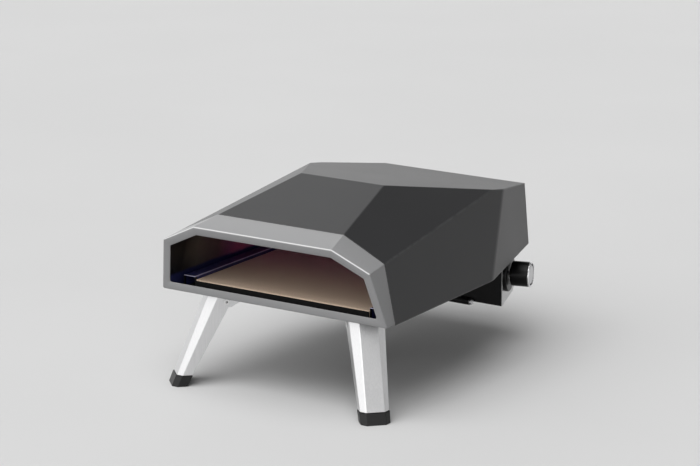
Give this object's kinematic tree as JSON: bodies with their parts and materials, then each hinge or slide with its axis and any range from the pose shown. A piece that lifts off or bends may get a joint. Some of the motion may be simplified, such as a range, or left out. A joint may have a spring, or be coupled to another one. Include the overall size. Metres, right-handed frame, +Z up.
{
  "type": "pizza oven",
  "caption": "Portable gas pizza oven: faceted steel body with an open slanted mouth, a loose baking stone, a rear tube burner with control knob, and folding sheet legs with rubber feet.",
  "frame": {"origin": "on the ground, midway across the oven and midway along its length", "axes": "+X to the oven's right as seen from its mouth, where the knob is; +Y from the mouth to the back; +Z up"},
  "size_m": [0.3976, 0.5556, 0.3019],
  "materials": {
    "silver_coat": "satin silver-grey powder coat",
    "graphite_coat": "fine matt graphite powder coat",
    "black_coat": "matt black powder coat",
    "dark_steel": "dark coated sheet",
    "heat_steel": "heat-tinted steel sheet",
    "stainless_sheet": "brushed",
    "brushed_stainless": "long-grain brushed",
    "zinc_steel": "zinc plated",
    "chrome": "polished",
    "satin_metal": "satin",
    "brass": "machined",
    "copper": "drawn copper tube",
    "gloss_black": "gloss",
    "black_rubber": "matt moulded",
    "red_silicone": "extruded silicone",
    "cordierite": "matt fired stone, opaque",
    "white_ceramic": "glazed ceramic, opaque",
    "ceramic_fibre": "loose white fibre"
  },
  "bodies": {
    "body": {"front_fascia": "silver_coat", "outer_shell": "graphite_coat", "rear_panel": "graphite_coat", "back_screw_1": "zinc_steel", "back_screw_2": "zinc_steel", "back_screw_3": "zinc_steel", "back_screw_4": "zinc_steel", "base_pan": "dark_steel", "oven_liner": "heat_steel", "insulation_blanket": "ceramic_fibre", "stone_tray": "dark_steel", "left_stone_rail": "heat_steel", "right_stone_rail": "heat_steel", "burner_tube": "stainless_sheet", "burner_cradle_left": "dark_steel", "burner_cradle_right": "dark_steel", "flame_guard": "heat_steel", "venturi_tube": "stainless_sheet", "gas_jet": "brass", "spark_electrode": "white_ceramic", "spark_lead": "red_silicone", "flame_probe": "brass", "flame_probe_lead": "copper", "control_box": "black_coat", "control_side_left": "black_coat", "control_side_right": "stainless_sheet", "gas_valve": "brass", "gas_inlet": "brass", "knob_bezel": "gloss_black", "igniter_barrel": "black_coat", "front_left_leg_bracket": "brushed_stainless", "front_left_leg_pin": "zinc_steel", "front_left_bracket_rivet_1": "zinc_steel", "front_left_bracket_rivet_2": "zinc_steel", "front_right_leg_bracket": "brushed_stainless", "front_right_leg_pin": "zinc_steel", "front_right_bracket_rivet_1": "zinc_steel", "front_right_bracket_rivet_2": "zinc_steel", "rear_leg_bracket": "brushed_stainless", "rear_leg_pin": "zinc_steel", "rear_bracket_rivet_1": "zinc_steel", "rear_bracket_rivet_2": "zinc_steel"},
    "front_left_leg": {"front_left_leg": "brushed_stainless", "front_left_foot": "black_rubber"},
    "front_right_leg": {"front_right_leg": "brushed_stainless", "front_right_foot": "black_rubber"},
    "rear_leg": {"rear_leg": "brushed_stainless", "rear_foot": "black_rubber"},
    "valve_plug": {"valve_plug": "brass"},
    "knob": {"valve_spindle": "zinc_steel", "knob": "gloss_black", "knob_ring": "chrome", "knob_cap": "satin_metal"},
    "igniter_button": {"igniter_button": "satin_metal"},
    "pizza_stone": {"pizza_stone": "cordierite"}
  },
  "joints": [
    {"name": "front_left_leg_fold", "type": "hinge", "parent": "body", "child": "front_left_leg", "pos_m": [-0.1255, -0.1967, 0.1297], "axis": [0.7071, -0.7071, 0], "range_deg": [0, 112]},
    {"name": "front_right_leg_fold", "type": "hinge", "parent": "body", "child": "front_right_leg", "pos_m": [0.1255, -0.1967, 0.1297], "axis": [0.7071, 0.7071, 0], "range_deg": [0, 112]},
    {"name": "rear_leg_fold", "type": "hinge", "parent": "body", "child": "rear_leg", "pos_m": [0, 0.0339, 0.1297], "axis": [1, 0, 0], "range_deg": [0, 90]},
    {"name": "knob_turn", "type": "hinge", "parent": "body", "child": "valve_plug", "pos_m": [0.12282, 0.22108, 0.1094], "axis": [0.9608, 0.2773, 0], "range_deg": [0, 200]},
    {"name": "knob_push", "type": "slide", "parent": "valve_plug", "child": "knob", "axis": [-0.9608, -0.2773, 0], "range_m": [0, 0.003], "stiffness_N_per_m": 800},
    {"name": "igniter_push", "type": "slide", "parent": "body", "child": "igniter_button", "axis": [-1, 0, 0], "range_m": [0, 0.003], "stiffness_N_per_m": 800},
    {"name": "stone_lift", "type": "slide", "parent": "body", "child": "pizza_stone", "axis": [0, 0, 1], "range_m": [0, 0.02]}
  ]
}
